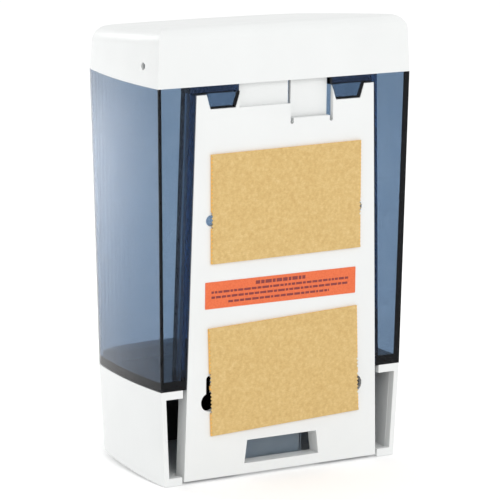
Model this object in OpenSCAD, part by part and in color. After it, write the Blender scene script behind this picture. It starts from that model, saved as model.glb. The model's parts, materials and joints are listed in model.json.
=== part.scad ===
// Wall mounted soap dispenser, for liquid soap.
// A white plate is stuck or screwed to the wall, and a smoke-tinted tank with a white base hangs on it.
// A bar across the front of the base works a small horizontal pump; a loose lid covers the fill opening.
// All sizes are in millimetres. X is to the right seen from the front, -Y is the front, +Z is up.
// The origin is midway between the two upper screw holes, on the plate's rear face.

/* [View] */
// Piece to draw, or "all"

/* [Overall size] */
// Widest half width, at the rim of the tank
half_width = 73; // [60:0.5:90]
// Depth of the tank's rim and of the lid
depth = 101; // [85:0.5:125]
// Height of the tank's rim above the foot of the base
rim_height = 196.4; // [170:0.2:240]
// Height of the joint between the base and the tank
base_height = 47.7; // [44:0.1:60]
// Height of the back of the lid above the rim
lid_height = 29.1; // [24:0.1:40]
// Fall of the lid's top towards the front, per millimetre
lid_fall = 0.1; // [0.05:0.001:0.13]

/* [Outline] */
// Half width of the tank at its floor
floor_half_width = 70.3; // [58:0.1:86]
// Depth of the tank at its floor
floor_depth = 91; // [78:0.5:115]
// Half width of the base at its foot
foot_half_width = 67.8; // [56:0.1:84]
// Depth of the base at its foot
foot_depth = 88; // [75:0.5:112]
// Rise of the base's lower edge towards the front, per millimetre
foot_rise = 0.05; // [0:0.005:0.1]
// Radius of the two upright front corners
corner_radius = 26; // [15:0.5:35]
// Radius of the gently bowed sides
side_bow = 244; // [150:1:500]
// Radius of the bowed front
front_bow = 240; // [150:1:500]
// Distance of the widest point from the wall
widest = 20; // [5:0.5:40]

/* [Tank] */
// Wall of the tank
tank_wall = 2.6; // [2:0.1:4]
// Floor of the tank
tank_floor = 4.5; // [2:0.1:5]
// Wall of the channel that takes the wall plate
channel_wall = 2.4; // [1.5:0.1:3]
// Height of the flange over the channel
flange_height = 3.9; // [3:0.1:6]
// Height of the collar that the lid fits over
collar_height = 12.4; // [6:0.1:14]
// Wall of the collar
collar_wall = 2.2; // [1.6:0.1:3]
// Radius of the lock pin hole through the lid and the collar
lock_hole_radius = 1.85; // [1.2:0.05:2.5]
// Height of the lock pin hole above the rim
lock_hole_rise = 9.6; // [4:0.1:10]
// Distance of the lock pin hole from the wall
lock_hole_back = 14.3; // [10:0.1:30]
// Half width of the tongue that hangs down behind the plate's window
tongue_half_width = 16.8; // [12:0.2:40]
// Thickness of the tongue
tongue_thickness = 1.2; // [1:0.1:3]
// Height of the tongue's lower end
tongue_bottom = 6; // [5:0.5:30]

/* [Lid] */
// Wall and top of the lid
lid_wall = 2.4; // [1.6:0.1:3.5]
// Radius of the lid's upper edge
lid_edge = 8; // [1:0.1:9]
// Draft of the lid's walls, over their height
lid_draft = 0.9; // [0:0.1:3]
// Thickness of the foam seal inside the lid
seal_thickness = 1; // [0.8:0.1:3]

/* [Wall plate] */
// Half width of the plate at its top
plate_half_top = 50.9; // [44:0.1:56]
// Half width of the plate at its foot
plate_half_foot = 56.1; // [50:0.1:60]
// Height of the plate's lower edge
plate_foot = 1.4; // [0.5:0.1:5]
// Thickness of the plate's web
web = 2.5; // [1.8:0.1:3.5]
// Depth of the plate's folded sides
tray_depth = 8; // [7:0.1:12]
// Thickness of the plate's folded sides
tray_wall = 2; // [1.5:0.1:3]
// Height of the ribs on the plate's web
rib_height = 1.4; // [0.8:0.1:3]
// Half the distance between the left and right screw holes
screw_half_spacing = 42.3; // [36:0.1:45]
// Height of the upper screw holes above the foot of the base
upper_screw_height = 130.4; // [120:0.1:140]
// Radius of the upper screw holes
screw_hole_radius = 2.8; // [2:0.1:4]
// Height of the keyholes' round part
keyhole_height = 40; // [34:0.1:60]
// Radius of the keyholes' round part
keyhole_radius = 4.6; // [3.5:0.1:6]
// Half width of the keyholes' slot
keyslot_half = 1.8; // [1.2:0.1:2.6]
// Length of the keyholes' slot, from centre to centre
keyslot_length = 11.5; // [7:0.1:16]
// Half width of the window at its upper edge
window_half_top = 20.2; // [12:0.1:30]
// Half width of the window at its lower edge
window_half_foot = 21.7; // [12:0.1:32]
// Height of the window's upper edge
window_top = 18.3; // [14:0.1:30]
// Height of the window's lower edge
window_foot = 6.5; // [5:0.1:12]

/* [Hooks] */
// Inner edge of a hook notch at its floor
notch_inner = 28.8; // [24:0.1:32]
// Outer edge of a hook notch at its floor
notch_outer = 43.1; // [38:0.1:46]
// Flare of a notch's sides towards the top
notch_flare = 2.2; // [1:0.1:4]
// Depth of a hook notch below the plate's top edge
notch_depth = 7.2; // [5:0.1:12]
// Undercut of a notch's edges, which keeps the hook from pulling out
notch_bevel = 0.9; // [0.3:0.1:1.5]
// Left edge of the plate's middle tower
tower_left = 26.7; // [20:0.1:28]
// Height of the tower's tip above the rim
tower_tip = 6.6; // [3:0.1:8]
// Thickness of the tower and of its spring finger
tower_thickness = 2.2; // [1.5:0.1:3]
// Right edge of the spring finger
finger_right = -25.4; // [-27:0.1:-20]
// Left edge of the spring finger
finger_left = -4.4; // [-10:0.1:0]
// Root of the spring finger, below the rim
finger_drop = 20.4; // [12:0.1:40]
// Width of the slots beside the spring finger
finger_slot = 1.8; // [1:0.1:3]

/* [Pads and label] */
// Width of an adhesive pad
pad_width = 86.4; // [60:0.1:92]
// Height of an adhesive pad
pad_height = 54; // [30:0.1:60]
// Thickness of an adhesive pad
pad_thickness = 1; // [0.5:0.1:3]
// Thickness of a paper liner
liner_thickness = 0.25; // [0.15:0.05:0.5]
// Height of the upper pad's middle
upper_pad_height = 136.4; // [125:0.1:150]
// Height of the lower pad's middle
lower_pad_height = 51.6; // [46:0.1:60]
// Distance of both pads' middle from the middle of the plate
pad_shift = -0.6; // [-5:0.1:5]
// Tilt of the upper pad in degrees
upper_pad_tilt = 0.6; // [-3:0.1:3]
// Tilt of the lower pad in degrees
lower_pad_tilt = 2.2; // [-3:0.1:3]
// Width of the instruction label
label_width = 87.2; // [50:0.1:95]
// Height of the instruction label
label_height = 13.3; // [8:0.1:18]
// Height of the label's middle
label_middle = 93.3; // [88:0.1:98]
// Distance of the label's middle from the middle of the plate
label_shift = 1.6; // [-5:0.1:5]
// Thickness of the label
label_thickness = 0.2; // [0.1:0.05:0.5]

/* [Base] */
// Wall of the base
base_wall = 3; // [2:0.1:4]
// Floor of the base
base_floor = 3; // [2:0.1:4]
// Height of the base's upper and lower rear rails
rail_height = 4; // [3:0.1:8]
// Margin outside the slots beside the wall plate
slot_margin = 2.6; // [1.5:0.1:6]
// Half width of the splash guard between the pump and the push bar
guard_half = 56; // [50:0.5:58]
// Thickness of the splash guard
guard_thickness = 2; // [1.5:0.1:3]
// Radius of the screw posts
post_radius = 5; // [4:0.1:6]
// Height of the joint between the posts and the tank's bosses
post_top = 30; // [24:0.5:36]
// Radius of a screw's shank
screw_radius = 1.5; // [1:0.05:2]
// Radius of a screw's head
head_radius = 3.2; // [2.5:0.1:3.8]
// Height of a screw's head
head_height = 2.4; // [1.5:0.1:3]
// Length of a screw's shank
screw_length = 16; // [10:0.5:18]

/* [Push bar] */
// Half width of the push bar
bar_half = 46; // [36:0.5:48]
// Distance that the push bar stands proud of the tank's floor
bar_proud = 6; // [3:0.5:12]
// Thickness of the push bar
bar_wall = 3; // [2:0.1:4]
// Height of the push bar's lower edge
bar_foot = 5; // [4:0.5:12]
// Gap between the push bar's upper edge and the tank
bar_drop = 1.2; // [0.8:0.1:4]
// Depth of the shelf along the push bar's upper edge
bar_shelf = 13; // [8:0.5:16]
// Radius of the push bar's lower corners
bar_corner = 8; // [2:0.5:14]
// Radius of the steel pin that the bar turns on
pin_radius = 1.5; // [1:0.1:2.5]
// Wall of the eye round the pin
eye_wall = 1.7; // [1:0.1:3]
// Distance of the pin behind the front of the tank's floor
pin_inset = 15; // [12:0.5:20]
// Distance of the pin below the tank's floor
pin_drop = 6.7; // [5.5:0.1:10]
// Thickness of the arms and bulkheads that the pin passes through
ear = 2.5; // [2:0.1:4]
// Radius of the pusher's round nose
nose_radius = 5; // [3:0.1:6]
// Length of the pusher, from the push bar's face to the thumb disc
pusher_length = 17; // [14:0.5:20]

/* [Pump] */
// Height of the pump's axis
pump_height = 19; // [17:0.5:24]
// Outer radius of the pump barrel
barrel_outer = 11; // [9:0.1:12]
// Bore radius of the pump barrel
barrel_bore = 8; // [6:0.1:9]
// Distance of the barrel's rear end from the wall
barrel_back = 28; // [22:0.5:32]
// Distance between the thumb disc and the barrel's front end
disc_stand = 12; // [10:0.5:16]
// Thickness of the barrel's front wall
barrel_nose = 3; // [2:0.1:5]
// Radius of the plunger's rod
rod_radius = 4; // [2.5:0.1:5]
// Radius of the plunger's thumb disc
disc_radius = 7; // [5:0.1:8]
// Thickness of the plunger's thumb disc
disc_thickness = 2.5; // [1.5:0.1:4]
// Length of the piston
piston_length = 6; // [4:0.1:8]
// Radius of the piston seal's section
seal_radius = 1.1; // [0.8:0.05:1.5]
// Radius of the return spring's wire
wire_radius = 0.5; // [0.3:0.05:0.7]
// Mean radius of the return spring
coil_radius = 6.2; // [4:0.1:7]
// Turns of the return spring
coil_turns = 6; // [4:1:9]
// Distance of the inlet neck from the wall
neck_back = 42; // [38:0.5:46]
// Outer radius of the inlet neck
neck_radius = 9; // [7:0.1:10]
// Radius of the flange under the tank's floor
flange_radius = 13; // [11:0.1:16]
// Thickness of the flange under the tank's floor
flange_thickness = 3; // [2:0.1:4]
// Thickness of the rubber gasket
gasket_thickness = 1.5; // [1:0.1:3]
// Height of the nut inside the tank
nut_height = 4; // [3:0.1:6]
// Wall of the nut, from the neck to its corners
nut_wall = 4.5; // [3:0.1:6]
// Radius of the inlet check ball
ball_radius = 3.2; // [2.5:0.1:3.6]
// Travel of the inlet check ball
ball_travel = 1.4; // [0.8:0.1:2]
// Radius of the outlet boss
outlet_radius = 7; // [6:0.1:8]
// Bore of the outlet boss
outlet_bore = 5; // [4:0.1:5.5]
// Height of the outlet boss's lower end
outlet_foot = 2.5; // [1.5:0.1:4]

/* [Fits] */
// Gap between the plate's folded sides and the tank's channel
slide_gap = 0.5; // [0.3:0.05:1.2]
// Gap between the wall plate's front edges and the floor of the tank's channel
channel_gap = 0.8; // [0.4:0.05:2]
// Gap between the wall plate's foot and the base's rails
rail_gap = 1.1; // [0.5:0.1:3]
// Gap around the hooks in their notches
hook_gap = 0.3; // [0.1:0.05:0.6]
// Gap between the plate's top edge and the tank's flange
flange_gap = 0.4; // [0.2:0.05:1]
// Gap between the lid and the collar
lid_gap = 0.5; // [0.2:0.05:1]
// Gap between the lid and the plate's tower
tower_gap = 0.6; // [0.3:0.05:1]
// Gap around the push bar in the base's opening
bar_gap = 1; // [0.5:0.1:2]
// Gap around the splash guard in its ribs and around the pump barrel in its hole
guard_gap = 0.2; // [0.1:0.05:0.5]
// Gap between the tank's tongue and the base's wall in front of it
tongue_gap = 1.2; // [0.3:0.05:1.5]
// Gap around the pump barrel inside the base
barrel_gap = 0.8; // [0.4:0.1:2]
// Running clearance on the push bar's pin
pin_clearance = 0.06; // [0.03:0.01:0.1]
// Clearance where a fixed pin, screw or plug is seated
seat_clearance = 0.02; // [0.01:0.01:0.05]
// Running clearance of the plunger's rod and piston
piston_clearance = 0.15; // [0.05:0.01:0.3]
// Gap between the pusher's nose and the thumb disc
nose_gap = 0.3; // [0.2:0.05:0.6]
// Side clearance of the inlet check ball
ball_clearance = 0.4; // [0.2:0.05:0.8]

/* [Colours] */
// White plastic of the plate, lid, base and bar
white = [0.93, 0.94, 0.93];
// Smoke-tinted clear plastic of the tank
smoke = [0.10, 0.16, 0.22, 0.6];
// Brown paper liner
paper = [0.85, 0.73, 0.47];
// Foam of the adhesive pads
foam = [0.83, 0.52, 0.24];
// Orange label
orange = [0.93, 0.52, 0.12];
// Dark plastic of the pump and of the splash guard
dark = [0.13, 0.13, 0.14];
// Black rubber
black = [0.08, 0.08, 0.09];
// Bright steel
steel = [0.72, 0.73, 0.75];

/* [Hidden] */
thin = 0.01;
cut = 1;
curve = 300;
round_fn = 64;
rim = rim_height;
flange_foot = rim - flange_height;
plate_top = flange_foot - flange_gap;
channel_depth = tray_depth + channel_gap;
rail_half = plate_half_foot + rail_gap;
bar_depth = floor_depth + bar_proud;
pin_back = floor_depth - pin_inset;
pin_height = base_height - pin_drop;
bar_opening = pin_back - 14;
guard_back = bar_opening - 1 - guard_thickness;
disc_front = bar_depth - pusher_length;
barrel_front = disc_front - disc_stand;
tower_depth = lid_wall + tower_gap;
tower_channel = tower_depth + tower_thickness + 2.4;
step_height = rim - 11.6;
finger_root = rim - finger_drop;
collar_inset = lid_wall + lid_gap;
collar_top = rim + collar_height;
seal_foot = collar_top + 0.2;
side_fall = side_bow - sqrt(side_bow * side_bow - widest * widest);
deck = base_height + tank_floor;
pin_end = bar_half + bar_gap + ear;
arm_outer = bar_half - 0.5;
bar_top = base_height - bar_drop;
piston_front = barrel_front - barrel_nose - 0.6;
cap_plug = 5;
neck_top = deck + nut_height + 2.5;
pocket_foot = pump_height + barrel_outer + 3;
ball_hole = ball_radius - 0.7;
ball_seat = sqrt(ball_radius * ball_radius - ball_hole * ball_hole);
ball_height = pocket_foot + ball_seat + seat_clearance;
valve_seat = ball_height + ball_travel + ball_seat + 0.05;
screw_spots = [[floor_half_width - 12.3, tray_depth + 27], [floor_half_width - 24.3, pin_back - 24]];

// Half width of the tapered plate at a height
function plate_half(z) = plate_half_foot
    - (plate_half_foot - plate_half_top) * (z - plate_foot) / (plate_top - plate_foot);

// Half width of the base's open back at a height
function slot_half(z) = foot_half_width - side_fall - slot_margin
    + (floor_half_width - foot_half_width) * z / base_height;

// Shifts everything from the foot of the base to the origin between the upper screw holes
module seat() {
    translate([0, 0, -upper_screw_height]) children();
}

// Flat-backed outline with bowed sides, round front corners and a bowed front
module plan(w, d) {
    intersection() {
        translate([-2 * w, -2 * d]) square([4 * w, 2 * d]);
        offset(r = corner_radius, $fn = 96) offset(delta = -corner_radius) intersection() {
            translate([w - side_bow, -widest]) circle(r = side_bow, $fn = curve);
            translate([side_bow - w, -widest]) circle(r = side_bow, $fn = curve);
            translate([0, front_bow - d]) circle(r = front_bow, $fn = curve);
        }
    }
}

// Thin slice of the outline, for hulls
module slice(z, w, d, inset = 0) {
    translate([0, 0, z]) linear_extrude(thin) offset(delta = -inset) plan(w, d);
}

// Drafted block between the tank's floor and its rim
module tank_block(inset, z0, z1) {
    hull() {
        slice(z0, floor_half_width, floor_depth, inset);
        slice(z1 - thin, half_width, depth, inset);
    }
}

// Slab parallel to the wall from an outline of x and z points, starting y0 from the wall
module upright(points, y0, t) {
    translate([0, -y0, 0]) rotate([90, 0, 0]) linear_extrude(t) polygon(points);
}

// Tapered outline that follows the plate's sides
function taper(grow, z0, z1) = [
    [-plate_half(z0) - grow, z0], [plate_half(z0) + grow, z0],
    [plate_half(z1) + grow, z1], [-plate_half(z1) - grow, z1]];

// Outline of a hook notch on one side, shrunk by a gap
function notch(gap, top) = [
    [notch_inner + gap, plate_top - notch_depth + gap],
    [notch_outer - gap, plate_top - notch_depth + gap],
    [notch_outer + notch_flare * (top - plate_top + notch_depth) / notch_depth - gap, top],
    [notch_inner - notch_flare * (top - plate_top + notch_depth) / notch_depth + gap, top]];

// Cylinder along Y, from y0 to y1 in front of the wall
module along_y(x, z, r, y0, y1) {
    translate([x, -y0, z]) rotate([90, 0, 0]) cylinder(r = r, h = y1 - y0, $fn = round_fn);
}

// Cylinder along X between two places
module along_x(y, z, r, x0, x1) {
    translate([x0, -y, z]) rotate([0, 90, 0]) cylinder(r = r, h = x1 - x0, $fn = round_fn);
}

// Upright ring or disc in front of the wall
module disc(x, y, r, z0, z1) {
    translate([x, -y, z0]) cylinder(r = r, h = z1 - z0, $fn = round_fn);
}

module block(x0, x1, y0, y1, z0, z1) {
    translate([x0, -y1, z0]) cube([x1 - x0, y1 - y0, z1 - z0]);
}

module mirrored() {
    children();
    mirror([1, 0, 0]) children();
}

// ---- Wall plate, pads and label ----

module wall_plate() color(white) seat() difference() {
    union() {
        upright(taper(0, plate_foot, plate_top), 0, web);
        difference() {
            upright(taper(0, plate_foot, plate_top), 0, tray_depth);
            upright(taper(-tray_wall, plate_foot - cut, plate_top + cut), 0, tray_depth + cut);
        }
        // frame of the window
        upright([[-window_half_foot - tray_wall, plate_foot], [window_half_foot + tray_wall, plate_foot],
            [window_half_top + tray_wall, window_top + tray_wall],
            [-window_half_top - tray_wall, window_top + tray_wall]], 0, tray_depth);
        // upright and level ribs
        for (x = [-30, 0, 30])
            block(x - 0.9, x + 0.9, web - 0.5, web + rib_height, window_top + 4, finger_root - 8);
        for (z = [26, 68, 96, 116, 150])
            block(-plate_half(z) + 1, plate_half(z) - 1, web - 0.5, web + rib_height, z - 0.9, z + 0.9);
        // foot of the tower and of the finger
        block(finger_right - finger_slot - 1, tower_left, web - 0.5, tower_depth + tower_thickness,
            finger_root - 6, finger_root);
        block(finger_left + finger_slot, tower_left, web - 0.5, tower_depth + tower_thickness,
            finger_root - 1, step_height);
        block(finger_left + finger_slot, tower_left, tower_depth, tower_depth + tower_thickness,
            step_height - 1, rim + tower_tip);
        block(finger_right, finger_left, tower_depth + 0.4, tower_depth + tower_thickness + 0.2,
            finger_root - 1, rim + tower_tip);
        block(tower_left - 5, tower_left, 0, tower_depth + tower_thickness, step_height - 2, step_height);
    }
    // notches for the tank's hooks, undercut so that a hook lifts out but can't pull out
    mirrored() {
        hull() {
            upright(notch(-notch_bevel * cut / web, plate_top + cut), -cut, thin);
            upright(notch(notch_bevel, plate_top + cut), web - thin, thin);
        }
        upright(notch(notch_bevel, plate_top + cut), web - 2 * thin, tray_depth);
    }
    // the window
    upright([[-window_half_foot, window_foot], [window_half_foot, window_foot],
        [window_half_top, window_top], [-window_half_top, window_top]], -cut, tray_depth + 2 * cut);
    // screw holes and keyholes
    for (s = [-1, 1]) {
        along_y(s * screw_half_spacing, upper_screw_height, screw_hole_radius, -cut, web + cut);
        along_y(s * screw_half_spacing, keyhole_height, keyhole_radius, -cut, web + cut);
        along_y(s * screw_half_spacing, keyhole_height + keyslot_length, keyslot_half, -cut, web + cut);
        block(s * screw_half_spacing - keyslot_half, s * screw_half_spacing + keyslot_half,
            -cut, web + cut, keyhole_height, keyhole_height + keyslot_length);
        // room behind the holes for a screw's head
        along_y(s * screw_half_spacing, upper_screw_height, keyhole_radius + 1, web, tray_depth);
        block(s * screw_half_spacing - keyhole_radius - 1, s * screw_half_spacing + keyhole_radius + 1,
            web, tray_depth, keyhole_height - keyhole_radius - 1,
            keyhole_height + keyslot_length + keyhole_radius);
    }
    // slots and relief holes beside the finger, and the open space in front of it
    block(finger_left, finger_left + finger_slot, -cut, tray_depth, finger_root, rim + 20);
    block(finger_right - finger_slot, finger_right, -cut, tray_depth, finger_root, rim + 20);
    along_y(finger_left + finger_slot / 2, finger_root - 0.4, finger_slot / 2 + 0.1, -cut, tray_depth);
    along_y(finger_right - finger_slot / 2, finger_root - 0.4, finger_slot / 2 + 0.1, -cut, tray_depth);
    block(finger_right - cut, finger_left + cut, -cut, tower_depth + 0.4, finger_root + 1.5, rim + 20);
    // step of the tower's left half, which goes up inside the lid
    block(finger_left + finger_slot - cut, tower_left + thin, -cut, tower_depth, step_height, rim + 20);
}

// One pad or liner, turned a little about its middle
module pad(z, tilt, y0, t, w, h) {
    translate([pad_shift, 0, z]) rotate([0, tilt, 0]) block(-w / 2, w / 2, -y0 - t, -y0, -h / 2, h / 2);
}

// Room that a pad leaves for the screws
module screw_room(z, r) {
    for (s = [-1, 1]) along_y(s * screw_half_spacing, z, r, -6, 0.5);
}

module adhesive_pad_upper() color(foam) seat() difference() {
    pad(upper_pad_height, upper_pad_tilt, 0, pad_thickness, pad_width, pad_height);
    screw_room(upper_screw_height, screw_hole_radius + 1);
}

module adhesive_pad_lower() color(foam) seat() difference() {
    pad(lower_pad_height, lower_pad_tilt, 0, pad_thickness, pad_width, pad_height);
    screw_room(keyhole_height, keyhole_radius + 1);
    screw_room(keyhole_height + keyslot_length, keyslot_half + 1);
}

module release_liner_upper() color(paper) seat()
    pad(upper_pad_height, upper_pad_tilt, pad_thickness, liner_thickness, pad_width, pad_height);

module release_liner_lower() color(paper) seat()
    pad(lower_pad_height, lower_pad_tilt, pad_thickness, liner_thickness, pad_width, pad_height);

module instruction_label() color(orange) seat()
    translate([label_shift, 0, label_middle])
        block(-label_width / 2, label_width / 2, -label_thickness, 0, -label_height / 2, label_height / 2);

// ---- Tank ----

// Space for the wall plate, open at the foot
module channel() {
    upright(taper(slide_gap, base_height - cut, flange_foot), -cut, channel_depth + cut);
    // space for the tower and the finger, open at the top
    block(finger_right - slide_gap - 0.4, tower_left + slide_gap, -cut, tower_channel,
        flange_foot - cut, collar_top + cut);
}

// The same space with the tank's wall around it
module channel_walls() {
    upright(taper(slide_gap + channel_wall, base_height, rim), 0, channel_depth + channel_wall);
    block(finger_right - slide_gap - 0.4 - collar_wall, tower_left + slide_gap + collar_wall, 0,
        tower_channel + collar_wall, flange_foot, collar_top + cut);
}

module tank() color(smoke) seat() union() {
    difference() {
        union() {
            tank_block(0, base_height, rim);
            translate([0, 0, rim - thin]) linear_extrude(collar_height + thin)
                offset(delta = -collar_inset) plan(half_width, depth);
            // bosses for the base's screws
            for (s = [-1, 1]) for (p = screw_spots)
                disc(s * p[0], p[1], post_radius, post_top, base_height + cut);
            // tongue behind the window
            block(-tongue_half_width, tongue_half_width, channel_depth, channel_depth + tongue_thickness,
                tongue_bottom, base_height + cut);
        }
        difference() {
            union() {
                tank_block(tank_wall, deck, rim);
                translate([0, 0, rim - 2]) linear_extrude(collar_height + 4)
                    offset(delta = -collar_inset - collar_wall) plan(half_width, depth);
            }
            channel_walls();
        }
        channel();
        disc(0, neck_back, neck_radius + piston_clearance, base_height - cut, deck + cut);
        along_x(lock_hole_back, rim + lock_hole_rise, lock_hole_radius, -half_width, half_width);
        for (s = [-1, 1]) for (p = screw_spots)
            disc(s * p[0], p[1], screw_radius + seat_clearance, post_top - cut,
                post_top - 4 + screw_length + 1);
    }
    // hooks that hang in the plate's notches
    mirrored() hull() {
        upright(notch(hook_gap, flange_foot + 0.5), 0, thin);
        upright(notch(hook_gap + notch_bevel, flange_foot + 0.5), web - thin, thin);
    }
}

// ---- Lid ----

// One level slice of the lid, with its top fallen towards the front
module lid_slice(z, inset, fall) {
    multmatrix([[1, 0, 0, 0], [0, 1, 0, 0], [0, fall, 1, z], [0, 0, 0, 1]])
        linear_extrude(thin) offset(delta = -inset) plan(half_width, depth);
}

module lid_block(inset, edge, draft, z0, top) {
    hull() {
        lid_slice(z0, inset, 0);
        for (a = [0:15:90])
            lid_slice(top - edge + edge * sin(a) - thin, inset + draft + edge * (1 - cos(a)), lid_fall);
    }
}

module lid() color(white) seat() difference() {
    union() {
        difference() {
            lid_block(0, lid_edge, lid_draft, rim, rim + lid_height);
            lid_block(lid_wall, lid_edge * 0.55, lid_gap / 2, rim - thin, rim + lid_height - lid_wall);
        }
        // rib that the seal is stuck to
        intersection() {
            lid_block(0.5, lid_edge, lid_draft, rim, rim + lid_height - 0.5);
            translate([0, 0, seal_foot + seal_thickness]) linear_extrude(lid_height) difference() {
                offset(delta = -collar_inset) plan(half_width, depth);
                offset(delta = -collar_inset - collar_wall) plan(half_width, depth);
            }
        }
    }
    along_x(lock_hole_back, rim + lock_hole_rise, lock_hole_radius, -half_width - cut, half_width + cut);
}

module lid_seal() color(black) seat()
    translate([0, 0, seal_foot]) linear_extrude(seal_thickness) difference() {
        offset(delta = -collar_inset - 0.1) plan(half_width, depth);
        offset(delta = -collar_inset - collar_wall + 0.1) plan(half_width, depth);
    }

// ---- Base ----

module base_block(inset, z0) {
    hull() {
        slice(z0, foot_half_width, foot_depth, inset);
        slice(base_height - thin, floor_half_width, floor_depth, inset);
    }
}

module base() color(white) seat() difference() {
    union() {
        difference() {
            base_block(0, 0);
            // inside, with a floor that follows the lower edge
            difference() {
                translate([0, 0, thin]) base_block(base_wall, 0);
                rotate([-atan(foot_rise), 0, 0]) block(-90, 90, -20, 130, -20, base_floor);
            }
            // room for the wall plate, and the slots beside it that follow the slanted sides
            block(-rail_half, rail_half, -cut, tray_depth + 1.5, -cut, base_height + cut);
            upright([[-slot_half(rail_height), rail_height], [slot_half(rail_height), rail_height],
                [slot_half(base_height - rail_height), base_height - rail_height],
                [-slot_half(base_height - rail_height), base_height - rail_height]],
                -cut, base_wall + 2 * cut);
        }
        // screw posts
        for (s = [-1, 1]) for (p = screw_spots) disc(s * p[0], p[1], post_radius, 1.5, post_top);
        // low wall in front of the tank's tongue
        block(-tongue_half_width, tongue_half_width, channel_depth + tongue_thickness + tongue_gap,
            channel_depth + tongue_thickness + tongue_gap + base_wall - 1, base_floor - 1, window_top + 4);
        // ribs that hold the splash guard on both faces
        for (s = [-1, 1]) for (y = [guard_back - guard_gap - 1.5, guard_back + guard_thickness + guard_gap])
            block(s * (guard_half - 4) - 1.5, s * (guard_half - 4) + 1.5, y, y + 1.5, base_floor + 1, 16);
        // bulkheads that hold the bar's pin
        for (s = [-1, 1]) intersection() {
            base_block(base_wall / 2, 0);
            block(s * (pin_end - ear / 2) - ear / 2, s * (pin_end - ear / 2) + ear / 2,
                pin_back - 12, floor_depth, 2, base_height - 0.5);
        }
    }
    // lower edge, rising towards the front
    rotate([-atan(foot_rise), 0, 0]) block(-90, 90, -20, 130, -20, 0);
    // opening for the push bar and the hand below it
    block(-bar_half - bar_gap, bar_half + bar_gap, bar_opening, depth + 20, -cut, bar_top + 2);
    along_x(pin_back, pin_height, pin_radius + seat_clearance, -pin_end - cut, pin_end + cut);
    // room for the pump barrel
    along_y(0, pump_height, barrel_outer + barrel_gap, barrel_back - 3.5, barrel_front + cut);
    // spout opening
    disc(0, neck_back, outlet_radius + 1.5, -cut, base_floor + 5);
    for (s = [-1, 1]) for (p = screw_spots) {
        disc(s * p[0], p[1], head_radius + 0.3, -cut, post_top - 4);
        disc(s * p[0], p[1], screw_radius + 0.25, -cut, post_top + cut);
    }
}

module base_screws() color(steel) seat()
    for (s = [-1, 1]) for (p = screw_spots) difference() {
        union() {
            disc(s * p[0], p[1], head_radius, post_top - 4 - head_height, post_top - 4);
            disc(s * p[0], p[1], screw_radius, post_top - 4 - 0.5, post_top - 4 + screw_length);
        }
        for (a = [0, 90]) translate([s * p[0], -p[1], post_top - 4 - head_height]) rotate([0, 0, a])
            cube([3.6, 0.8, 2.4], center = true);
    }

// Dark wall across the base, slid over the pump's barrel and held by the base's ribs
module splash_guard() color(dark) seat() difference() {
    block(-guard_half, guard_half, guard_back, guard_back + guard_thickness, 0, base_height - 1);
    rotate([-atan(foot_rise), 0, 0]) block(-90, 90, -20, 130, -20, base_floor + seat_clearance);
    along_y(0, pump_height, barrel_outer + guard_gap, guard_back - cut, guard_back + guard_thickness + cut);
}

// ---- Push bar ----

module push_bar() color(white) seat() difference() {
    union() {
        // face, with a shelf along its upper edge
        intersection() {
            union() {
                translate([0, 0, bar_foot]) linear_extrude(bar_top - bar_foot) difference() {
                    plan(floor_half_width, bar_depth);
                    plan(floor_half_width, bar_depth - bar_wall);
                }
                translate([0, 0, bar_top - 2]) linear_extrude(2) difference() {
                    plan(floor_half_width, bar_depth - 1);
                    plan(floor_half_width, bar_depth - bar_shelf);
                }
            }
            translate([0, -pin_back, 0]) rotate([90, 0, 0]) linear_extrude(bar_depth) hull() {
                for (s = [-1, 1]) {
                    translate([s * (bar_half - bar_corner), bar_foot + bar_corner])
                        circle(r = bar_corner, $fn = 48);
                    translate([s * (bar_half - 2), bar_top - 2]) circle(r = 2, $fn = 24);
                }
            }
        }
        // lip along the lower edge
        intersection() {
            translate([0, 0, bar_foot]) linear_extrude(bar_wall) difference() {
                plan(floor_half_width, bar_depth - 0.5);
                plan(floor_half_width, bar_depth - bar_wall - 5);
            }
            block(-bar_half + bar_corner, bar_half - bar_corner, pin_back, bar_depth + cut, 0, base_height);
        }
        // arms
        for (s = [-1, 1]) intersection() {
            union() {
                block(s * (arm_outer - ear / 2) - ear / 2, s * (arm_outer - ear / 2) + ear / 2,
                    pin_back, bar_depth, pin_height - 7, bar_top - 1);
                along_x(pin_back, pin_height, pin_radius + eye_wall, s * (arm_outer - ear / 2) - ear / 2,
                    s * (arm_outer - ear / 2) + ear / 2);
            }
            translate([0, 0, -cut]) linear_extrude(base_height + 2) plan(floor_half_width, bar_depth - 1);
        }
        // pusher with a round nose
        along_y(0, pump_height, nose_radius, disc_front + nose_gap + nose_radius, bar_depth - 1);
        translate([0, -(disc_front + nose_gap + nose_radius), pump_height])
            sphere(r = nose_radius, $fn = round_fn);
        // stiffening ribs beside the pusher
        for (x = [-24, 24]) intersection() {
            block(x - 1, x + 1, bar_depth - bar_wall - 7, bar_depth - 1, bar_foot + 1, bar_top - 1);
            translate([0, 0, -cut]) linear_extrude(base_height + 2) plan(floor_half_width, bar_depth - 1);
        }
    }
    along_x(pin_back, pin_height, pin_radius + pin_clearance, -bar_half - cut, bar_half + cut);
}

module bar_pin() color(steel) seat() along_x(pin_back, pin_height, pin_radius, -pin_end, pin_end);

// ---- Pump ----

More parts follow.
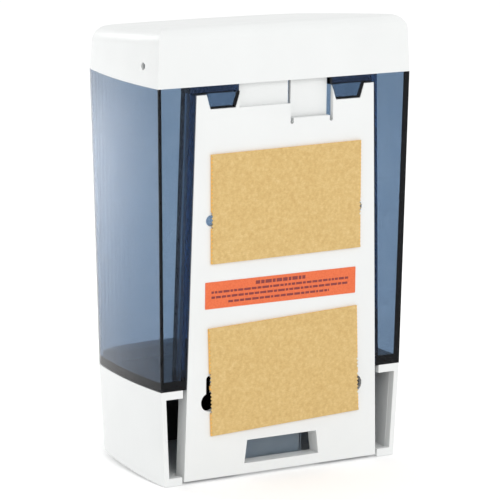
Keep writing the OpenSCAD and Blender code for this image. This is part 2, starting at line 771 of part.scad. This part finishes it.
module pump_body() color(dark) seat() difference() {
    union() {
        along_y(0, pump_height, barrel_outer, barrel_back, barrel_front);
        disc(0, neck_back, neck_radius, pump_height, neck_top);
        disc(0, neck_back, flange_radius, base_height - gasket_thickness - flange_thickness,
            base_height - gasket_thickness);
        disc(0, neck_back, outlet_radius, outlet_foot, pump_height);
        // hexagon for a spanner
        translate([0, -neck_back, pump_height + barrel_outer - 1])
            cylinder(r = neck_radius + 2, h = 4, $fn = 6);
    }
    along_y(0, pump_height, barrel_bore, barrel_back - cut, barrel_front - barrel_nose);
    along_y(0, pump_height, rod_radius + piston_clearance, barrel_back, barrel_front + cut);
    // inlet passage, ball pocket and seat bore
    disc(0, neck_back, ball_hole, pump_height, neck_top + cut);
    for (a = [0, 90]) translate([0, -neck_back, pocket_foot - 1.4]) rotate([0, 0, a])
        cube([2 * ball_radius + 1.2, 1.5, 3], center = true);
    disc(0, neck_back, ball_radius + ball_clearance, pocket_foot, valve_seat + thin);
    disc(0, neck_back, ball_radius + ball_clearance + 1.6, valve_seat, neck_top + cut);
    // outlet passage and valve bore
    disc(0, neck_back, outlet_bore - 2, outlet_foot, pump_height);
    disc(0, neck_back, outlet_bore, outlet_foot - cut, outlet_foot + 5);
}

module pump_end_cap() color(dark) seat() difference() {
    union() {
        along_y(0, pump_height, barrel_bore - seat_clearance, barrel_back - 0.5, barrel_back + cap_plug);
        along_y(0, pump_height, barrel_outer, barrel_back - 2.5, barrel_back);
    }
    for (a = [0, 90]) translate([0, -barrel_back + 2.5, pump_height]) rotate([0, a, 0])
        cube([12, 2.4, 1.6], center = true);
    along_y(0, pump_height, coil_radius - wire_radius - 1.6, barrel_back + 1, barrel_back + cap_plug + cut);
}

module inlet_gasket() color(black) seat() difference() {
    disc(0, neck_back, flange_radius, base_height - gasket_thickness, base_height);
    disc(0, neck_back, neck_radius + 0.1, base_height - gasket_thickness - cut, base_height + cut);
}

module inlet_nut() color(dark) seat() difference() {
    translate([0, -neck_back, deck]) union() {
        cylinder(r = neck_radius + nut_wall, h = nut_height, $fn = 6);
        cylinder(r = neck_radius + nut_wall - 0.3, h = 1.2, $fn = round_fn);
    }
    disc(0, neck_back, neck_radius + seat_clearance, deck - cut, deck + nut_height + cut);
}

module inlet_seat() color(dark) seat() difference() {
    disc(0, neck_back, ball_radius + ball_clearance + 1.6 - seat_clearance, valve_seat, neck_top);
    disc(0, neck_back, ball_hole, valve_seat - cut, neck_top + cut);
    disc(0, neck_back, ball_hole + 1.2, valve_seat + 3, neck_top + cut);
}

module inlet_screen() color(dark) seat() difference() {
    disc(0, neck_back, neck_radius + 1.4, deck + nut_height + 0.5, neck_top + 5);
    disc(0, neck_back, neck_radius + seat_clearance, deck + nut_height - cut, neck_top);
    disc(0, neck_back, neck_radius - 1.5, neck_top - cut, neck_top + 3.6);
    for (a = [0:30:150]) translate([0, -neck_back, neck_top + 2.2]) rotate([0, 0, a])
        cube([4 * neck_radius, 1.3, 2.4], center = true);
    for (x = [-4.5:3:4.5]) block(x - 0.6, x + 0.6, neck_back - 5, neck_back + 5, neck_top + 3, neck_top + 6);
}

module inlet_ball() color(steel) seat()
    translate([0, -neck_back, ball_height]) sphere(r = ball_radius, $fn = round_fn);

module plunger() color(white) seat() difference() {
    union() {
        along_y(0, pump_height, disc_radius, disc_front - disc_thickness, disc_front);
        along_y(0, pump_height, rod_radius, piston_front - 1, disc_front - 1);
        along_y(0, pump_height, barrel_bore - piston_clearance, piston_front - piston_length, piston_front);
    }
    // groove for the seal
    rotate([0, 0, 0]) translate([0, -(piston_front - piston_length / 2), pump_height]) rotate([90, 0, 0])
        difference() {
            cylinder(r = barrel_bore + cut, h = 2 * seal_radius + 0.2, center = true, $fn = round_fn);
            cylinder(r = barrel_bore - 2 * seal_radius - 0.1, h = 4 * seal_radius, center = true,
                $fn = round_fn);
        }
    // seat for the spring
    along_y(0, pump_height, coil_radius - wire_radius - 1.6, piston_front - piston_length - cut,
        piston_front - piston_length + 2);
}

module piston_seal() color(black) seat()
    translate([0, -(piston_front - piston_length / 2), pump_height]) rotate([90, 0, 0])
        rotate_extrude($fn = round_fn) translate([barrel_bore - seal_radius - 0.04, 0])
            circle(r = seal_radius, $fn = 32);

module return_spring() color(steel) seat() {
    y0 = barrel_back + cap_plug + 0.05 + wire_radius;
    y1 = piston_front - piston_length - 0.05 - wire_radius;
    steps = 14;
    translate([0, 0, pump_height]) for (i = [0:coil_turns * steps - 1]) hull() for (k = [i, i + 1])
        translate([coil_radius * cos(360 * k / steps), -y0 - (y1 - y0) * k / (coil_turns * steps),
            coil_radius * sin(360 * k / steps)]) sphere(r = wire_radius, $fn = 8);
}

module outlet_valve() color(black) seat() difference() {
    union() {
        disc(0, neck_back, outlet_bore - 0.05, outlet_foot + 3.6, outlet_foot + 5);
        disc(0, neck_back, outlet_bore - 2, outlet_foot + 1.5, outlet_foot + 4);
        hull() {
            disc(0, neck_back, outlet_bore - 2, outlet_foot + 1.4, outlet_foot + 1.6);
            block(-outlet_bore + 2, outlet_bore - 2, neck_back - 0.5, neck_back + 0.5, 1, 1.4);
        }
    }
    disc(0, neck_back, outlet_bore - 3, outlet_foot + 2, outlet_foot + 6);
    block(-outlet_bore + 3, outlet_bore - 3, neck_back - 0.1, neck_back + 0.1, 0, outlet_foot + 3);
}

module outlet_ring() color(dark) seat() difference() {
    disc(0, neck_back, outlet_bore - 0.05, outlet_foot, outlet_foot + 3.5);
    disc(0, neck_back, outlet_bore - 1.7, outlet_foot - cut, outlet_foot + 4);
}

wall_plate();
adhesive_pad_upper();
adhesive_pad_lower();
release_liner_upper();
release_liner_lower();
instruction_label();
tank();
lid();
lid_seal();
base();
base_screws();
splash_guard();
push_bar();
bar_pin();
pump_body();
pump_end_cap();
inlet_gasket();
inlet_nut();
inlet_seat();
inlet_screen();
inlet_ball();
plunger();
piston_seal();
return_spring();
outlet_valve();
outlet_ring();
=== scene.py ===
"""Looks of the wall mounted soap dispenser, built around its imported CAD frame. All lengths are in metres."""
import json
import math
import random

import bmesh
import bpy
from mathutils import Matrix, Vector


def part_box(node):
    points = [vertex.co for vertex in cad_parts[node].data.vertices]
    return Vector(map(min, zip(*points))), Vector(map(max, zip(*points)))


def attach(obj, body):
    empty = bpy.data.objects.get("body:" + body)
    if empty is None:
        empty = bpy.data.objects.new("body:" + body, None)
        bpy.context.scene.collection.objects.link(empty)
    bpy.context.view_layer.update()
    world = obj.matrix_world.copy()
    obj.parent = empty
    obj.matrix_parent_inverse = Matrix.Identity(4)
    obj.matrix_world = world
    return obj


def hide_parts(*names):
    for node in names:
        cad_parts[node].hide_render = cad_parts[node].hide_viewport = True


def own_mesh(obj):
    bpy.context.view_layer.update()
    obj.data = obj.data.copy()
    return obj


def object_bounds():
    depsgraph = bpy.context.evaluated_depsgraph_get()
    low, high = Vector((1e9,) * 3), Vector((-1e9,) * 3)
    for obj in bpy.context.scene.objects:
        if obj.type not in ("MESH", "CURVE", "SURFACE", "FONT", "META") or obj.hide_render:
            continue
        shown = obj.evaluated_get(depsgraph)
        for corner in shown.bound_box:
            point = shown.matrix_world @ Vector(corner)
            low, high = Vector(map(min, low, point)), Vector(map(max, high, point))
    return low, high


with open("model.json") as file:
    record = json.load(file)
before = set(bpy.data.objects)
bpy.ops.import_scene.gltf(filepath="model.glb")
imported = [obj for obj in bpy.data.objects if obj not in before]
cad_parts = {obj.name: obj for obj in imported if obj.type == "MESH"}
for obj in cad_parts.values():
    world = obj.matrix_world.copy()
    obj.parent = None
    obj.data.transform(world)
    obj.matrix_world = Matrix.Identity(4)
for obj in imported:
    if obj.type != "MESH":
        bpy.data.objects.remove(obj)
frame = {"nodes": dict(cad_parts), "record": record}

CAD_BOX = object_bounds()
MM = 0.001

# ---- Camera, as the picture of the object was taken ----
CAMERA_AT = Vector((0.84627, 1.34400, 0.29083))
CAMERA_AIM = Vector((-0.004712, -0.040, -0.025592))
CAMERA_ROLL = math.radians(0.69)
CAMERA_LENS, SENSOR_WIDTH = 236.7, 36.0


def add_camera():
    """Looks at the back of the dispenser from its left, a little from above."""
    data = bpy.data.cameras.new("camera")
    data.lens, data.sensor_width = CAMERA_LENS, SENSOR_WIDTH
    data.clip_start, data.clip_end = 0.05, 50.0
    camera = bpy.data.objects.new("camera", data)
    bpy.context.scene.collection.objects.link(camera)
    turn = (CAMERA_AIM - CAMERA_AT).to_track_quat("-Z", "Y")
    roll = Matrix.Rotation(CAMERA_ROLL, 4, "Z")
    camera.matrix_world = Matrix.Translation(CAMERA_AT) @ turn.to_matrix().to_4x4() @ roll
    bpy.context.scene.camera = camera


# ---- Node helpers ----
class Shader:
    """A material under construction: short names for the nodes that every recipe here uses."""

    def __init__(self, name):
        self.material = bpy.data.materials.new(name)
        self.material.use_nodes = True
        self.tree = self.material.node_tree
        self.surface = self.tree.nodes["Principled BSDF"]
        self.output = self.tree.nodes["Material Output"]
        self.where = self.node("ShaderNodeTexCoord").outputs["Object"]

    def node(self, kind, **values):
        made = self.tree.nodes.new(kind)
        for key, value in values.items():
            setattr(made, key, value)
        return made

    def link(self, source, target):
        self.tree.links.new(source, target)

    def put(self, target, value):
        """Links a socket, or sets a plain value."""
        if isinstance(value, bpy.types.NodeSocket):
            self.link(value, target)
        else:
            target.default_value = value

    def stretched(self, scale):
        """Object coordinates, scaled apart along the three axes."""
        mapping = self.node("ShaderNodeMapping")
        self.link(self.where, mapping.inputs["Vector"])
        mapping.inputs["Scale"].default_value = scale
        return mapping.outputs["Vector"]

    def noise(self, scale, detail=2.0, rough=0.5, at=None):
        made = self.node("ShaderNodeTexNoise")
        self.link(at or self.where, made.inputs["Vector"])
        made.inputs["Scale"].default_value = scale
        made.inputs["Detail"].default_value = detail
        made.inputs["Roughness"].default_value = rough
        return made.outputs["Fac"]

    def cells(self, scale):
        made = self.node("ShaderNodeTexVoronoi")
        self.link(self.where, made.inputs["Vector"])
        made.inputs["Scale"].default_value = scale
        return made.outputs["Distance"]

    def ramp(self, factor, *stops):
        """A colour ramp through (position, colour) stops."""
        made = self.node("ShaderNodeValToRGB")
        self.link(factor, made.inputs["Fac"])
        elements = made.color_ramp.elements
        for i, (position, colour) in enumerate(stops):
            element = elements[i] if i < 2 else elements.new(position)
            element.position = position
            element.color = (*colour, 1.0)
        return made.outputs["Color"]

    def span(self, factor, low, high, start=0.3, end=0.7):
        """A number from low to high as factor goes from start to end."""
        made = self.node("ShaderNodeMapRange")
        self.link(factor, made.inputs["Value"])
        for socket, value in zip(("From Min", "From Max", "To Min", "To Max"), (start, end, low, high)):
            made.inputs[socket].default_value = value
        return made.outputs["Result"]

    def maths(self, operation, a, b):
        made = self.node("ShaderNodeMath", operation=operation)
        self.put(made.inputs[0], a)
        self.put(made.inputs[1], b)
        return made.outputs["Value"]

    def mix(self, factor, a, b):
        made = self.node("ShaderNodeMix", data_type="RGBA", blend_type="MIX")
        self.put(made.inputs["Factor"], factor)
        self.put(made.inputs["A"], a)
        self.put(made.inputs["B"], b)
        return made.outputs["Result"]

    def bump(self, height, distance, strength):
        made = self.node("ShaderNodeBump")
        self.link(height, made.inputs["Height"])
        made.inputs["Distance"].default_value = distance
        made.inputs["Strength"].default_value = strength
        return made.outputs["Normal"]

    def finish(self, **sockets):
        """Sets the Principled shader's sockets, named with _ for spaces, and returns the material."""
        for name, value in sockets.items():
            self.put(self.surface.inputs[name.replace("_", " ")], value)
        return self.material


def white_plastic(name, tint, gloss=0.38):
    """Moulded white plastic: faint cloudiness, and a satin gloss that varies a little."""
    s = Shader(name)
    cloud = s.noise(26.0, 3.0)
    low, high = tuple(c * 0.975 for c in tint), tint
    colour = s.ramp(cloud, (0.35, low), (0.65, high))
    rough = s.span(s.noise(120.0, 1.0), gloss - 0.04, gloss + 0.06)
    return s.finish(Base_Color=colour, Roughness=rough, IOR=1.5)


def smoke_plastic():
    """Clear plastic with a blue-grey tint that deepens with its thickness, slightly wavy as moulded."""
    s = Shader("smoke_plastic")
    wave = s.bump(s.noise(34.0, 1.0), 0.0006, 0.10)
    rough = s.span(s.noise(420.0, 3.0), 0.015, 0.05)
    absorb = s.node("ShaderNodeVolumeAbsorption")
    absorb.inputs["Color"].default_value = (0.085, 0.28, 0.46, 1.0)
    absorb.inputs["Density"].default_value = 370.0
    s.link(absorb.outputs["Volume"], s.output.inputs["Volume"])
    haze = s.ramp(s.noise(90.0, 4.0), (0.3, (0.93, 0.95, 0.97)), (0.7, (1.0, 1.0, 1.0)))
    return s.finish(Base_Color=haze, Roughness=rough, Normal=wave, IOR=1.5, Transmission_Weight=1.0,
                    Specular_Tint=(0.30, 0.31, 0.34, 1.0))


def kraft_paper():
    s = Shader("kraft_paper")
    fibre = s.noise(1500.0, 5.0, 0.65, s.stretched((0.5, 1.0, 1.2)))
    blotch = s.noise(520.0, 3.0, 0.6)
    base = s.ramp(blotch, (0.30, (0.575, 0.385, 0.150)), (0.52, (0.64, 0.45, 0.185)),
                  (0.75, (0.70, 0.51, 0.235)))
    flecks = s.span(fibre, 0.0, 1.0, 0.42, 0.60)
    colour = s.mix(s.maths("MULTIPLY", flecks, 0.25), base, (0.46, 0.29, 0.10, 1.0))
    grain = s.bump(fibre, 0.00006, 0.6)
    return s.finish(Base_Color=colour, Roughness=0.82, Normal=grain, Specular_IOR_Level=0.3)


def foam():
    s = Shader("adhesive_foam")
    cell = s.cells(2600.0)
    colour = s.ramp(cell, (0.0, (0.60, 0.30, 0.07)), (0.5, (0.86, 0.50, 0.14)))
    return s.finish(Base_Color=colour, Roughness=0.9, Normal=s.bump(cell, 0.0001, 0.8))


def orange_label():
    s = Shader("orange_label")
    speck = s.noise(1400.0, 3.0)
    colour = s.ramp(speck, (0.35, (0.70, 0.120, 0.030)), (0.65, (0.77, 0.155, 0.046)))
    return s.finish(Base_Color=colour, Roughness=s.span(speck, 0.42, 0.55),
                    Normal=s.bump(speck, 0.00003, 0.4))


def label_ink():
    s = Shader("label_ink")
    speck = s.noise(2200.0, 3.0)
    colour = s.ramp(speck, (0.3, (0.17, 0.020, 0.020)), (0.7, (0.26, 0.035, 0.030)))
    return s.finish(Base_Color=colour, Roughness=0.5)


# near-black plastic for the pump parts; on the splash guard the same near-black is painted shade
def dark_plastic():
    s = Shader("dark_plastic")
    grain = s.noise(900.0, 3.0)
    colour = s.ramp(grain, (0.3, (0.012, 0.012, 0.014)), (0.7, (0.022, 0.022, 0.025)))
    return s.finish(Base_Color=colour, Roughness=s.span(grain, 0.38, 0.52),
                    Normal=s.bump(grain, 0.00003, 0.4))


def rubber():
    s = Shader("black_rubber")
    grain = s.noise(1300.0, 4.0)
    colour = s.ramp(grain, (0.3, (0.010, 0.010, 0.011)), (0.7, (0.026, 0.026, 0.028)))
    return s.finish(Base_Color=colour, Roughness=s.span(grain, 0.6, 0.8), Normal=s.bump(grain, 0.00004, 0.6))


def steel(name, gloss):
    """Bright stainless steel with fine turning marks."""
    s = Shader(name)
    marks = s.noise(500.0, 4.0, 0.6, s.stretched((0.15, 1.0, 1.0)))
    colour = s.ramp(marks, (0.3, (0.52, 0.52, 0.54)), (0.7, (0.68, 0.68, 0.69)))
    return s.finish(Base_Color=colour, Metallic=1.0, Roughness=s.span(marks, gloss, gloss + 0.12),
                    Normal=s.bump(marks, 0.00002, 0.3))


# ---- CAD nodes: materials, welded edges and small rounds ----
SMOOTH_ANGLE = math.radians(32)
ROUND_ANGLE = math.radians(40)
WELD_REACH = 0.000002


def smooth_group():
    """A node group that shades a mesh smooth, apart from edges sharper than its angle."""
    group = bpy.data.node_groups.new("smooth_by_angle", "GeometryNodeTree")
    group.interface.new_socket("Geometry", in_out="INPUT", socket_type="NodeSocketGeometry")
    group.interface.new_socket("Geometry", in_out="OUTPUT", socket_type="NodeSocketGeometry")
    nodes, link = group.nodes, group.links.new
    start, end = nodes.new("NodeGroupInput"), nodes.new("NodeGroupOutput")
    angle, compare = nodes.new("GeometryNodeInputMeshEdgeAngle"), nodes.new("FunctionNodeCompare")
    compare.data_type, compare.operation = "FLOAT", "LESS_EQUAL"
    compare.inputs["B"].default_value = SMOOTH_ANGLE
    faces = nodes.new("GeometryNodeSetShadeSmooth")
    faces.domain = "FACE"
    edges = nodes.new("GeometryNodeSetShadeSmooth")
    edges.domain = "EDGE"
    link(start.outputs[0], faces.inputs["Geometry"])
    link(faces.outputs[0], edges.inputs["Geometry"])
    link(angle.outputs["Unsigned Angle"], compare.inputs["A"])
    link(compare.outputs["Result"], edges.inputs["Shade Smooth"])
    link(edges.outputs[0], end.inputs[0])
    return group


SMOOTH = smooth_group()


def shade_smooth(piece):
    modifier = piece.modifiers.new("smooth", "NODES")
    modifier.node_group = SMOOTH


def dress(node, material, round_edge=0.0, segments=2):
    """Gives a CAD node its material, and rounds its edges by round_edge."""
    piece = frame["nodes"][node]
    piece.data.materials.clear()
    piece.data.materials.append(material)
    weld = piece.modifiers.new("weld", "WELD")
    weld.merge_threshold = WELD_REACH
    if round_edge:
        bevel = piece.modifiers.new("bevel", "BEVEL")
        bevel.width, bevel.segments = round_edge, segments
        bevel.limit_method, bevel.angle_limit = "ANGLE", ROUND_ANGLE
        bevel.use_clamp_overlap = True
    shade_smooth(piece)
    flat = piece.modifiers.new("flat_faces", "WEIGHTED_NORMAL")
    flat.keep_sharp = True


# ---- Pieces made here, in place of plain CAD solids ----
PINK_STEP, PINK_DEPTH = 0.95 * MM, 0.85 * MM
PAPER_EDGE, PAPER_INSET = 0.04 * MM, 0.05 * MM
FOAM_STEP, FOAM_BULGE = 0.7 * MM, 0.12 * MM
SCREW_X = 42.3 * MM
SCREW_CLEARANCE = 1
SLOT_RISE, SLOT_ROOM = 11.5 * MM, 2.8 * MM
LABEL_CORNER, LABEL_SEED = 0.4 * MM, 7
BAR_RISE, BAR_GAP = 0.03 * MM, 0.55 * MM
# (height of the line's middle, bar height, left end, right end, longest bar) as shares of the label
LABEL_LINES = [(0.82, 0.13, 0.33, 0.66, 0.055), (0.61, 0.085, 0.04, 0.95, 0.045),
               (0.42, 0.085, 0.04, 0.95, 0.045), (0.22, 0.085, 0.15, 0.82, 0.045)]
SPRING_WIRE, SPRING_TURNS = 0.5 * MM, 7
# turns at each end of the spring that lie almost flat, and the share of its length that they take
END_TURNS, END_SHARE = 0.8, 0.055


def add_piece(name, verts, faces, material, body, slot, *nodes):
    """Makes a closed mesh piece that rides on a body and stands for CAD nodes; the slot argument is not used.
    """
    data = bpy.data.meshes.new(name)
    data.from_pydata(verts, [], faces)
    mesh = bmesh.new()
    mesh.from_mesh(data)
    bmesh.ops.recalc_face_normals(mesh, faces=mesh.faces)
    mesh.to_mesh(data)
    mesh.free()
    piece = bpy.data.objects.new(name, data)
    bpy.context.scene.collection.objects.link(piece)
    data.materials.append(material)
    shade_smooth(piece)
    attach(piece, body)
    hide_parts(*nodes)
    return piece


def corners(node):
    """The four corners of a flat CAD sheet, as (x, z): +x top, -x top, -x foot, +x foot."""
    points = [(v.co.x, v.co.z) for v in frame["nodes"][node].data.vertices]
    signs = ((1, 1), (-1, 1), (-1, -1), (1, -1))
    return [max(points, key=lambda p: sx * p[0] + sz * p[1]) for sx, sz in signs]


def sheet_outline(node, step, side):
    """Points round a flat sheet, a step apart; side(point, inward, index) may move an upright edge's."""
    tips = corners(node)
    points = []
    for k, (a, b) in enumerate(zip(tips, tips[1:] + tips[:1])):
        count = max(2, round(math.dist(a, b) / step))
        for i in range(count):
            x, z = (a[j] + (b[j] - a[j]) * i / count for j in (0, 1))
            if k in (1, 3) and i > 0:
                x, z = side((x, z), 1.0 if k == 1 else -1.0, i)
            points.append((x, z))
    return points


def layered(outline, layers):
    """A closed slab: layers are (y, inset) from the low y face to the high one; inset pulls the outline in."""
    cx = sum(p[0] for p in outline) / len(outline)
    cz = sum(p[1] for p in outline) / len(outline)
    verts = []
    for y, inset in layers:
        for x, z in outline:
            out = math.hypot(x - cx, z - cz)
            verts.append((x - (x - cx) / out * inset, y, z - (z - cz) / out * inset))
    n, faces = len(outline), []
    for level in range(len(layers) - 1):
        a, b = level * n, (level + 1) * n
        faces += [(a + i, a + (i + 1) % n, b + (i + 1) % n, b + i) for i in range(n)]
    return verts, faces + [tuple(range(n)), tuple(range((len(layers) - 1) * n, len(layers) * n))]


def pinked(point, inward, index):
    """Zigzag of the paper's cut edges."""
    return point[0] + inward * (PINK_DEPTH if index % 2 else 0.0), point[1]


def add_liner(node, material):
    low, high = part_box(node)
    outline = sheet_outline(node, PINK_STEP, pinked)
    verts, faces = layered(outline, [(low.y, 0.0), (high.y - PAPER_EDGE, 0.0), (high.y, PAPER_INSET)])
    name = node.replace("release_liner", "paper")
    add_piece(name, verts, faces, material, "wall_plate", "kraft_paper", node)


def add_foam(node, material, rooms):
    """A foam pad with rounded edges, cut back round the screws: rooms are (height, radius) at each side."""
    low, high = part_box(node)

    def cut_back(point, inward, _index):
        x, z = point
        side = -inward * SCREW_X
        for height, radius in rooms:
            if abs(z - height) < radius:
                edge = side + inward * math.sqrt(radius ** 2 - (z - height) ** 2)
                x = max(x, edge) if inward > 0 else min(x, edge)
        return x, z

    outline = sheet_outline(node, FOAM_STEP, cut_back)
    thick = high.y - low.y
    layers = [(low.y + thick * f, FOAM_BULGE * (2 * f - 1) ** 2) for f in (0.0, 0.2, 0.5, 0.8, 1.0)]
    verts, faces = layered(outline, layers)
    piece = add_piece(node.replace("adhesive_pad", "foam_pad"), verts, faces, material, "wall_plate",
                      "adhesive_foam", node)


def add_label(material, ink):
    """An orange sticker with plain bars in place of any words."""
    low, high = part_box("instruction_label")
    radius, outline = LABEL_CORNER, []
    for cx, cz, start in ((high.x - radius, high.z - radius, 0), (low.x + radius, high.z - radius, 90),
                          (low.x + radius, low.z + radius, 180), (high.x - radius, low.z + radius, 270)):
        for turn in range(start, start + 91, 15):
            a = math.radians(turn)
            outline.append((cx + radius * math.cos(a), cz + radius * math.sin(a)))
    verts, faces = layered(outline, [(low.y, 0.0), (high.y, 0.0)])
    label_faces = len(faces)
    rng = random.Random(LABEL_SEED)

    def bar(x0, x1, z0, z1):
        n = len(verts)
        around = ((x0, z0), (x1, z0), (x1, z1), (x0, z1))
        verts.extend((x, y, z) for y in (high.y, high.y + BAR_RISE) for x, z in around)
        faces.extend([(n + 4, n + 5, n + 6, n + 7), (n, n + 1, n + 5, n + 4), (n + 1, n + 2, n + 6, n + 5),
                      (n + 2, n + 3, n + 7, n + 6), (n + 3, n, n + 4, n + 7)])

    for middle, tall, start, end, longest in LABEL_LINES:
        z = low.z + (high.z - low.z) * middle
        h = (high.z - low.z) * tall / 2
        x, stop = high.x - (high.x - low.x) * start, high.x - (high.x - low.x) * end
        while x > stop:
            length = (high.x - low.x) * longest * rng.uniform(0.3, 1.0)
            bar(x, max(stop, x - length), z - h, z + h)
            x -= length + BAR_GAP
    piece = add_piece("label_sticker", verts, faces, material, "wall_plate", "orange_label",
                      "instruction_label")
    piece.data.materials.append(ink)
    for face in piece.data.polygons[label_faces:]:
        face.material_index = 1


def add_spring(material):
    """The return spring as one smooth coil with closed end turns."""
    low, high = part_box("return_spring")
    wire, turns, around, ring = SPRING_WIRE, SPRING_TURNS, 40, 12
    middle = Vector(((low.x + high.x) / 2, 0, (low.z + high.z) / 2))
    radius = (high.x - low.x) / 2 - wire
    y0, y1 = high.y - wire, low.y + wire
    verts, faces = [], []
    steps = turns * around
    for k in range(steps + 1):
        t = k / steps
        first = min(1.0, t * turns / END_TURNS)
        middle_part = min(1.0, max(0.0, (t * turns - END_TURNS) / (turns - 2 * END_TURNS)))
        last = max(0.0, (t * turns - turns + END_TURNS) / END_TURNS)
        rise = END_SHARE * (first + last) + (1 - 2 * END_SHARE) * middle_part
        a = 2 * math.pi * k / around
        out = Vector((math.cos(a), 0, math.sin(a)))
        at = middle + out * radius + Vector((0, y0 + (y1 - y0) * rise, 0))
        for r in range(ring):
            b = 2 * math.pi * r / ring
            verts.append(at + (out * math.cos(b) + Vector((0, 1, 0)) * math.sin(b)) * wire)
    for k in range(steps):
        for r in range(ring):
            a, b = k * ring + r, k * ring + (r + 1) % ring
            faces.append((a, b, b + ring, a + ring))
    faces += [tuple(range(ring)), tuple(range(steps * ring, (steps + 1) * ring))]
    piece = add_piece("return_coil", verts, faces, material, "tank", "steel", "return_spring")
    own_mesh(piece)


# ---- Floor and light ----
FLOOR = CAD_BOX[0].z
FLOOR_GAP, FLOOR_HALF = 0.0002, 12.0


def add_stage():
    data = bpy.data.meshes.new("floor")
    half = FLOOR_HALF
    square = [(-half, -half, 0), (half, -half, 0), (half, half, 0), (-half, half, 0)]
    data.from_pydata(square, [], [(0, 1, 2, 3)])
    floor = bpy.data.objects.new("floor", data)
    floor.location.z = FLOOR - FLOOR_GAP
    s = Shader("floor_paper")
    colour = s.ramp(s.noise(2.0, 2.0), (0.3, (0.90, 0.90, 0.90)), (0.7, (0.93, 0.93, 0.93)))
    data.materials.append(s.finish(Base_Color=colour, Roughness=0.9, Specular_IOR_Level=0.2,
                                   Emission_Color=(1.0, 1.0, 1.0, 1.0), Emission_Strength=0.14))
    bpy.context.scene.collection.objects.link(floor)


def add_softbox(name, at, size, power, aim=(0, -0.04, 0)):
    """A rectangular soft light that faces the dispenser, or another aim."""
    data = bpy.data.lights.new(name, "AREA")
    data.shape, data.size, data.size_y = "RECTANGLE", *size
    data.energy = power
    light = bpy.data.objects.new(name, data)
    light.location = at
    light.rotation_euler = (Vector(aim) - Vector(at)).to_track_quat("-Z", "Y").to_euler()
    bpy.context.scene.collection.objects.link(light)


def add_light():
    world = bpy.data.worlds.new("studio")
    bpy.context.scene.world = world
    world.use_nodes = True
    background = world.node_tree.nodes["Background"]
    background.inputs["Color"].default_value = (1.0, 1.0, 1.0, 1.0)
    background.inputs["Strength"].default_value = 0.90
    add_softbox("key", (0.1, 2.2, 1.5), (1.8, 1.2), 16.0)
    add_softbox("top", (0.0, -0.3, 2.4), (2.4, 2.4), 5.0)
    add_softbox("side", (1.9, -0.9, 0.5), (1.2, 1.2), 1.0)
    # brightens the floor that shows as a reflection in the tank's side
    add_softbox("floor_glow", (0.35, -0.9, 0.35), (0.4, 0.4), 4.0, aim=(0.35, -0.9, FLOOR))
    scene = bpy.context.scene
    scene.view_settings.view_transform = "Standard"
    scene.view_settings.look = "None"


add_camera()
WHITE = white_plastic("white_plastic", (0.765, 0.778, 0.772))
DARK_AND_SHADE, RUBBER, STEEL = dark_plastic(), rubber(), steel("steel", 0.25)
dress("wall_plate", WHITE, 0.35 * MM)
dress("lid", WHITE, 0.3 * MM)
dress("base", WHITE, 0.3 * MM)
dress("push_bar", WHITE, 0.3 * MM)
dress("tank", smoke_plastic(), 0.45 * MM, 3)
# the splash guard is a near-black sheet set inside the base where there is only shade: painted shade that
# keeps the view through the left slot black
dress("splash_guard", DARK_AND_SHADE, 0.3 * MM)
for node in ("pump_body", "pump_end_cap", "inlet_nut", "inlet_seat", "inlet_screen", "outlet_ring"):
    dress(node, DARK_AND_SHADE)
for node in ("lid_seal", "inlet_gasket", "piston_seal", "outlet_valve"):
    dress(node, RUBBER)
for node in ("base_screws", "bar_pin"):
    dress(node, STEEL)
add_spring(STEEL)
dress("inlet_ball", steel("ball_steel", 0.08))
dress("plunger", white_plastic("pump_white", (0.80, 0.81, 0.79), 0.4))
PAPER, FOAM = kraft_paper(), foam()
for node in ("release_liner_upper", "release_liner_lower"):
    add_liner(node, PAPER)
# heights and radii of the room round the screws come from the mounts
MOUNTS = {m["name"]: m for m in frame["record"]["mounts"]}
upper, keys = MOUNTS["wall_screws_upper"], MOUNTS["wall_keyholes"]
UPPER_ROOM, KEY_ROOM = ((m["dims"]["hole_r_mm"] + SCREW_CLEARANCE) * MM for m in (upper, keys))
add_foam("adhesive_pad_upper", FOAM, [(upper["pos_m"][2], UPPER_ROOM)])
add_foam("adhesive_pad_lower", FOAM, [
    (keys["pos_m"][2], KEY_ROOM), (keys["pos_m"][2] + SLOT_RISE, SLOT_ROOM)])
add_label(orange_label(), label_ink())
add_stage()
add_light()
